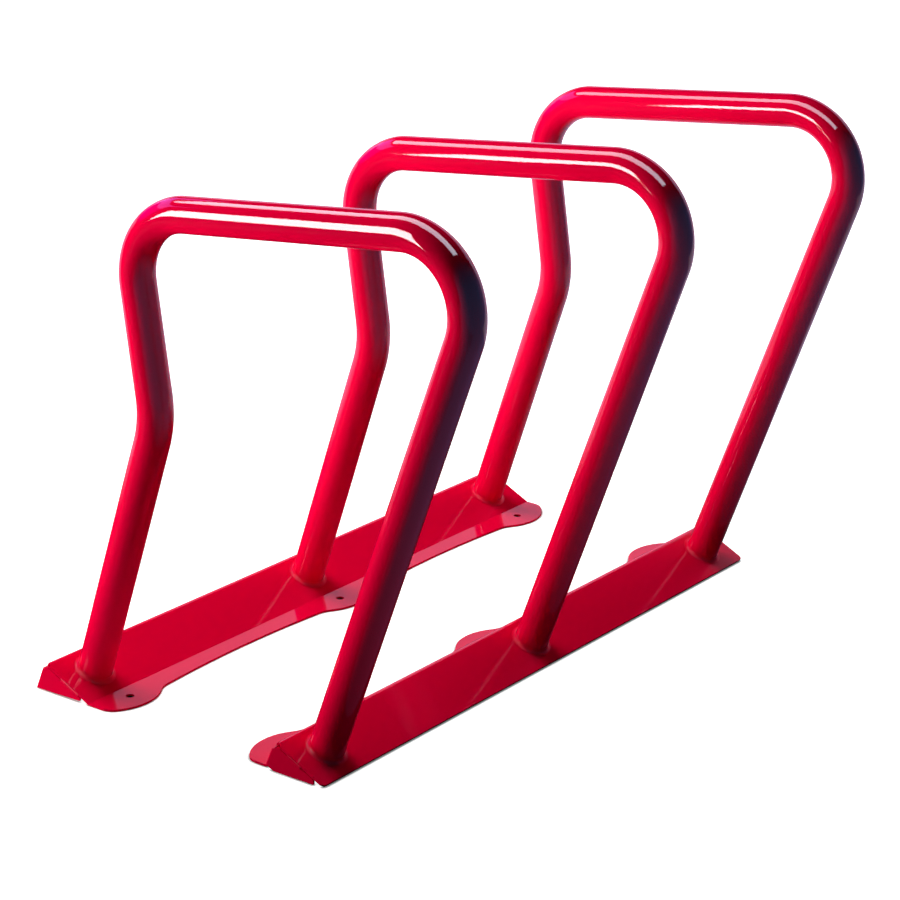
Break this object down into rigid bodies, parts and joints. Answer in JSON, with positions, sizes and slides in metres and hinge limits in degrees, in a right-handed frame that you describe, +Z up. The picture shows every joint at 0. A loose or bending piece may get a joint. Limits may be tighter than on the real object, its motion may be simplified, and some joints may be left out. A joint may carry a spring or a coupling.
{
  "type": "hoop bike rack",
  "caption": "Floor-standing bike rack: leaning bent-pipe hoops with a rising top bar, welded across folded sheet rails that bolt down through rounded ears; glossy red coat.",
  "frame": {"origin": "on the ground, at the centre of the rack's bounding box seen from above", "axes": "+Z up; +Y along the two rails; +X across the rack in the plane of each hoop, pointing the way the hoops lean"},
  "size_m": [0.7016, 1.028, 0.7502],
  "materials": {
    "hoop_coat": "glossy red powder coat on bent steel pipe",
    "rail_coat": "glossy red powder coat on folded steel sheet",
    "weld_coat": "glossy red powder coat over weld beads"
  },
  "bodies": {
    "root": {"hoop_1": "hoop_coat", "hoop_2": "hoop_coat", "hoop_3": "hoop_coat", "left_rail": "rail_coat", "right_rail": "rail_coat", "foot_weld_left_1": "weld_coat", "foot_weld_left_2": "weld_coat", "foot_weld_left_3": "weld_coat", "foot_weld_right_1": "weld_coat", "foot_weld_right_2": "weld_coat", "foot_weld_right_3": "weld_coat", "seam_weld_left_near": "weld_coat", "seam_weld_left_far": "weld_coat", "seam_weld_right_near": "weld_coat", "seam_weld_right_far": "weld_coat"}
  },
  "joints": []
}
